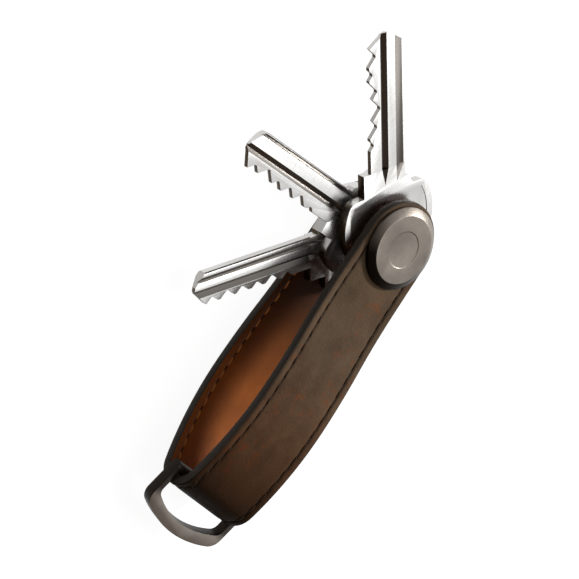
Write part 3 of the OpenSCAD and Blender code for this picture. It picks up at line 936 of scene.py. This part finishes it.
def build_strap():
    """The two leathers, the edge paint and the stitching."""
    outer = strap_layer("outer_leather_skin", 0.0, OUTER_T, 1, OUTER_EDGE_R)
    dress(smooth(cut_hole(outer, POST_HOLE_R), 50), LEATHER)
    finish_piece(outer, "strap", "outer_leather", "outer_leather")
    lining = strap_layer("lining_skin", WALL, WALL - LINING_T, -1, LINING_EDGE_R)
    dress(smooth(cut_hole(lining, POST_HOLE_R), 50), LINING)
    finish_piece(lining, "strap", "lining_leather", "lining_leather")
    paint = dress(smooth(painted_edge(), 60), PAINT)
    finish_piece(paint, "strap", "edge_paint")
    brown = dress(stitches("outer_stitches", 0.0, -1), BROWN_THREAD)
    finish_piece(brown, "strap", "thread_brown")
    finish_piece(dress(stitch_hole_shade_plugs("outer_stitch_hole_shade", 0.0, -1), HOLE_SHADE), "strap", "outer_leather")
    finish_piece(dress(stitch_hole_shade_plugs("lining_stitch_hole_shade", WALL, 1), HOLE_SHADE), "strap", "lining_leather")
    orange = dress(stitches("lining_stitches", WALL, 1), ORANGE_THREAD)
    finish_piece(orange, "strap", "thread_orange")


def build_metal():
    """The knobs, screw, ring, washers and keys, and the plain parts that hardly show."""
    knob = knob_disc("front_knob_turned")
    paint_wall_shade(knob, *KNOB_PAINTED_SHADE)
    finish_piece(dress(knob, GUNMETAL), "strap", "gunmetal", "front_knob")
    for node, body, width, material, slot_name, painted_shade in FINISHED:
        piece = dress(bevelled_copy(node, node + "_finished", width), material)
        # painted shade and painted reflection on the piece's wall faces
        if painted_shade:
            paint_wall_shade(piece, *painted_shade)
        finish_piece(piece, body, slot_name, node)
    for node, material in PLAIN:
        dress(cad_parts[node], material)


# ---------------------------------------------------------------- stage

def build_camera():
    """The three-quarter view from above the keys' side, with the strap running down to the left."""
    right = Vector(CAMERA_RIGHT)
    up = Vector(CAMERA_UP)
    back = right.cross(up).normalized()
    up = back.cross(right).normalized()
    right.normalize()
    data = bpy.data.cameras.new("camera")
    data.lens = CAMERA_LENS
    data.sensor_width = 36
    data.clip_start = 0.01
    camera = bpy.data.objects.new("camera", data)
    bpy.context.scene.collection.objects.link(camera)
    turn = Matrix((right, up, back)).transposed().to_4x4()
    camera.matrix_world = Matrix.Translation(CAMERA_AT) @ turn
    bpy.context.scene.camera = camera


def area_lamp(name, at, aim, size, power):
    """A round soft lamp."""
    data = bpy.data.lights.new(name, "AREA")
    data.shape = "DISK"
    data.size = size
    data.energy = power
    lamp = bpy.data.objects.new(name, data)
    bpy.context.scene.collection.objects.link(lamp)
    lamp.location = at
    lamp.rotation_euler = (Vector(aim) - Vector(at)).to_track_quat("-Z", "Y").to_euler()


def build_floor():
    """A plain pale floor that keeps its shadow and shows evenly lit."""
    deselect()
    bpy.ops.mesh.primitive_grid_add(x_subdivisions=2, y_subdivisions=2, size=6, location=(0, 0, -0.0002))
    floor = named("floor")
    material = bpy.data.materials.new("floor")
    material.use_nodes = True
    tree = material.node_tree
    shader = tree.nodes["Principled BSDF"]
    shader.inputs["Base Color"].default_value = (FLOOR_GREY, FLOOR_GREY, FLOOR_GREY, 1)
    shader.inputs["Roughness"].default_value = 0.9
    rays = add(tree, "ShaderNodeLightPath", (-900, -300))
    seen = add(tree, "ShaderNodeMath", (-700, -300), operation="MAXIMUM")
    tree.links.new(rays.outputs["Is Camera Ray"], seen.inputs[0])
    tree.links.new(rays.outputs["Is Glossy Ray"], seen.inputs[1])
    also = add(tree, "ShaderNodeMath", (-500, -300), operation="MAXIMUM")
    tree.links.new(seen.outputs[0], also.inputs[0])
    tree.links.new(rays.outputs["Is Transmission Ray"], also.inputs[1])
    level = add(tree, "ShaderNodeMath", (-300, -300), operation="MULTIPLY")
    level.inputs[1].default_value = FLOOR_GLOW
    tree.links.new(also.outputs[0], level.inputs[0])
    shader.inputs["Emission Color"].default_value = (1, 1, 1, 1)
    tree.links.new(level.outputs[0], shader.inputs["Emission Strength"])
    floor.data.materials.append(material)


def build_light():
    """A plain dim world for light, with a bright side and a dark side that the metal shows."""
    world = bpy.data.worlds.new("studio")
    bpy.context.scene.world = world
    world.use_nodes = True
    tree = world.node_tree
    background = tree.nodes["Background"]
    where = add(tree, "ShaderNodeTexCoord", (-1300, 0))
    side = add(tree, "ShaderNodeVectorMath", (-1100, 0), operation="DOT_PRODUCT")
    side.inputs[1].default_value = BRIGHT_SIDE
    tree.links.new(where.outputs["Generated"], side.inputs[0])
    bright = ranged(tree, (-900, 0), side.outputs["Value"], 0.38, 0.72, 0, 1)
    shown = mix_colour(tree, (-700, 0), bright, SHOWN_DARK, SHOWN_BRIGHT)
    rays = add(tree, "ShaderNodeLightPath", (-900, 300))
    level = mix_colour(tree, (-400, 100), rays.outputs["Is Glossy Ray"], (WORLD_LEVEL,) * 3, shown)
    tree.links.new(level, background.inputs["Color"])
    background.inputs["Strength"].default_value = 1
    area_lamp("key_lamp", (0.62, -0.56, 0.55), (-0.02, 0, 0.01), 0.22, KEY_POWER)
    area_lamp("top_lamp", (0.15, -0.25, 0.95), (-0.03, 0, 0.01), 0.5, TOP_POWER)


bpy.context.scene.view_settings.view_transform = "Standard"
build_camera()
build_strap()
build_metal()
build_floor()
build_light()
